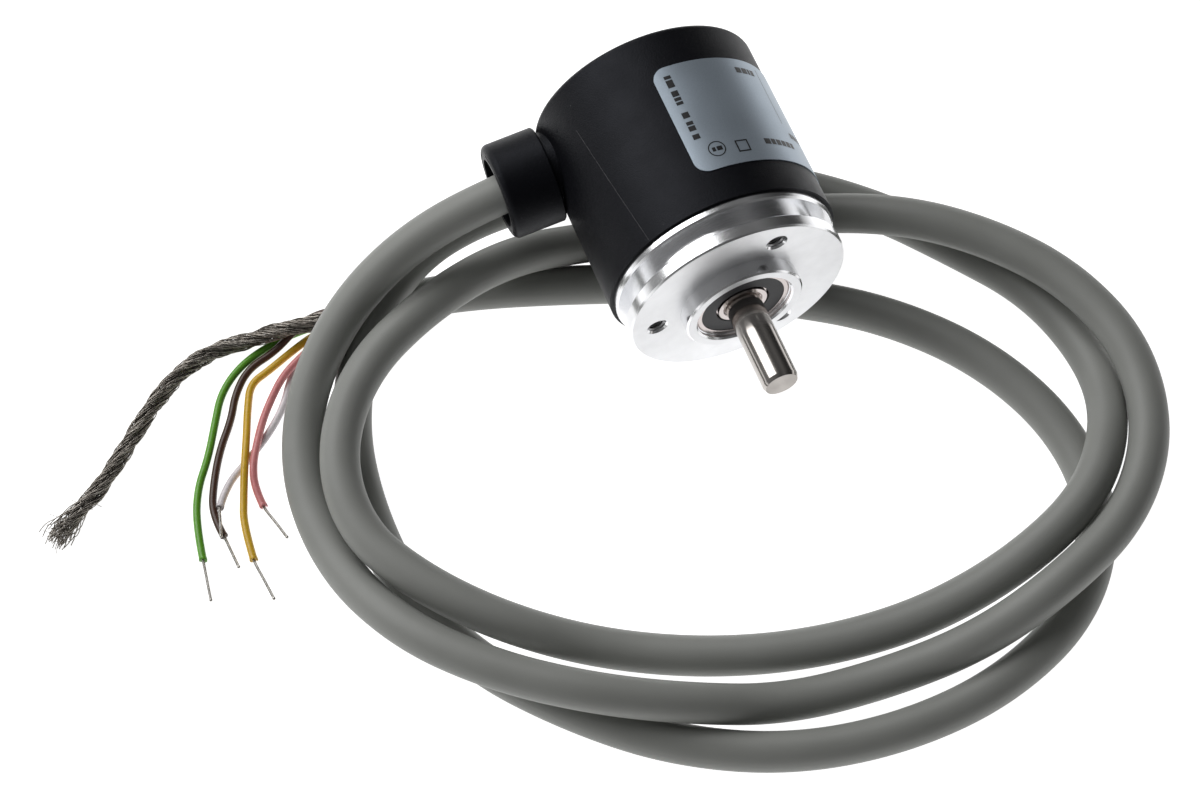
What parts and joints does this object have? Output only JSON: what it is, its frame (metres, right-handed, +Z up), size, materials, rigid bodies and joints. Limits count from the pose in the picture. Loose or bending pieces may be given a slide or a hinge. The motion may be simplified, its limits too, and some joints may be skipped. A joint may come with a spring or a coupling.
{
  "type": "rotary encoder",
  "caption": "Small incremental rotary encoder: solid shaft in ball bearings, synchro flange with centring collar, moulded housing, radial outlet with a looped, stripped cable.",
  "frame": {"origin": "on the shaft axis, in the plane of the flange mounting face", "axes": "-Y along the shaft towards its free end, -X along the cable outlet, +Z up from the surface that the cable lies on"},
  "size_m": [0.1753, 0.1182, 0.0465],
  "materials": {
    "housing_black": "fine moulded texture",
    "turned_aluminium": "turned, satin",
    "ground_steel": "ground",
    "bearing_steel": "polished",
    "bearing_balls": "polished",
    "cage_polymer": "satin",
    "seal_rubber": "matte",
    "spring_steel": "oiled",
    "brass": "turned",
    "disc_glass": "clear",
    "lamp_resin": "clear resin",
    "screw_steel": "zinc plated",
    "chip_black": "matte",
    "board_green": "solder mask",
    "connector_white": "satin",
    "clear_sealant": "glossy, slightly cloudy",
    "label_silver": "satin film",
    "jacket_grey": "satin extruded PVC",
    "tinned_copper": "tinned strands",
    "core_green_pvc": "satin PVC",
    "core_brown_pvc": "satin PVC",
    "core_white_pvc": "satin PVC",
    "core_yellow_pvc": "satin PVC",
    "core_pink_pvc": "satin PVC"
  },
  "bodies": {
    "encoder_body": {"housing": "housing_black", "flange": "turned_aluminium", "front_bearing_outer_ring": "bearing_steel", "front_bearing_seal": "seal_rubber", "rear_bearing_outer_ring": "bearing_steel", "rear_bearing_seal": "seal_rubber", "outer_spacer": "turned_aluminium", "preload_spring": "spring_steel", "bearing_circlip": "spring_steel", "housing_o_ring": "seal_rubber", "lamp_holder": "cage_polymer", "lamp": "lamp_resin", "lamp_screws": "screw_steel", "scanning_reticle": "disc_glass", "detector": "chip_black", "circuit_board": "board_green", "board_standoffs": "brass", "board_screws": "screw_steel", "board_chips": "chip_black", "lead_connector": "connector_white", "inner_leads": "core_white_pvc", "outlet_sleeve": "housing_black", "outlet_sealant": "clear_sealant", "shield_ferrule": "screw_steel", "rating_label": "label_silver", "cable": "jacket_grey", "shield_braid": "tinned_copper", "core_green": "core_green_pvc", "core_brown": "core_brown_pvc", "core_white": "core_white_pvc", "core_yellow": "core_yellow_pvc", "core_pink": "core_pink_pvc", "conductor_green": "tinned_copper", "conductor_brown": "tinned_copper", "conductor_white": "tinned_copper", "conductor_yellow": "tinned_copper", "conductor_pink": "tinned_copper"},
    "rotor": {"shaft": "ground_steel", "front_bearing_inner_ring": "bearing_steel", "rear_bearing_inner_ring": "bearing_steel", "inner_spacer": "ground_steel", "code_hub": "brass", "hub_set_screw": "spring_steel", "code_disc": "disc_glass", "disc_clamp_ring": "brass"},
    "front_ball_set": {"front_bearing_balls": "bearing_balls", "front_bearing_cage": "cage_polymer"},
    "rear_ball_set": {"rear_bearing_balls": "bearing_balls", "rear_bearing_cage": "cage_polymer"}
  },
  "joints": [
    {"name": "shaft_turn", "type": "hinge", "parent": "encoder_body", "child": "rotor", "pos_m": [0, 0, 0], "axis": [0, -1, 0], "continuous": true},
    {"name": "front_balls_turn", "type": "hinge", "parent": "encoder_body", "child": "front_ball_set", "pos_m": [0, 0, 0], "axis": [0, -1, 0], "continuous": true},
    {"name": "rear_balls_turn", "type": "hinge", "parent": "encoder_body", "child": "rear_ball_set", "pos_m": [0, 0.0175, 0], "axis": [0, -1, 0], "continuous": true}
  ],
  "couplings": [
    {"joint": "front_balls_turn", "follows": "shaft_turn", "ratio": 0.38739},
    {"joint": "rear_balls_turn", "follows": "shaft_turn", "ratio": 0.38739}
  ]
}
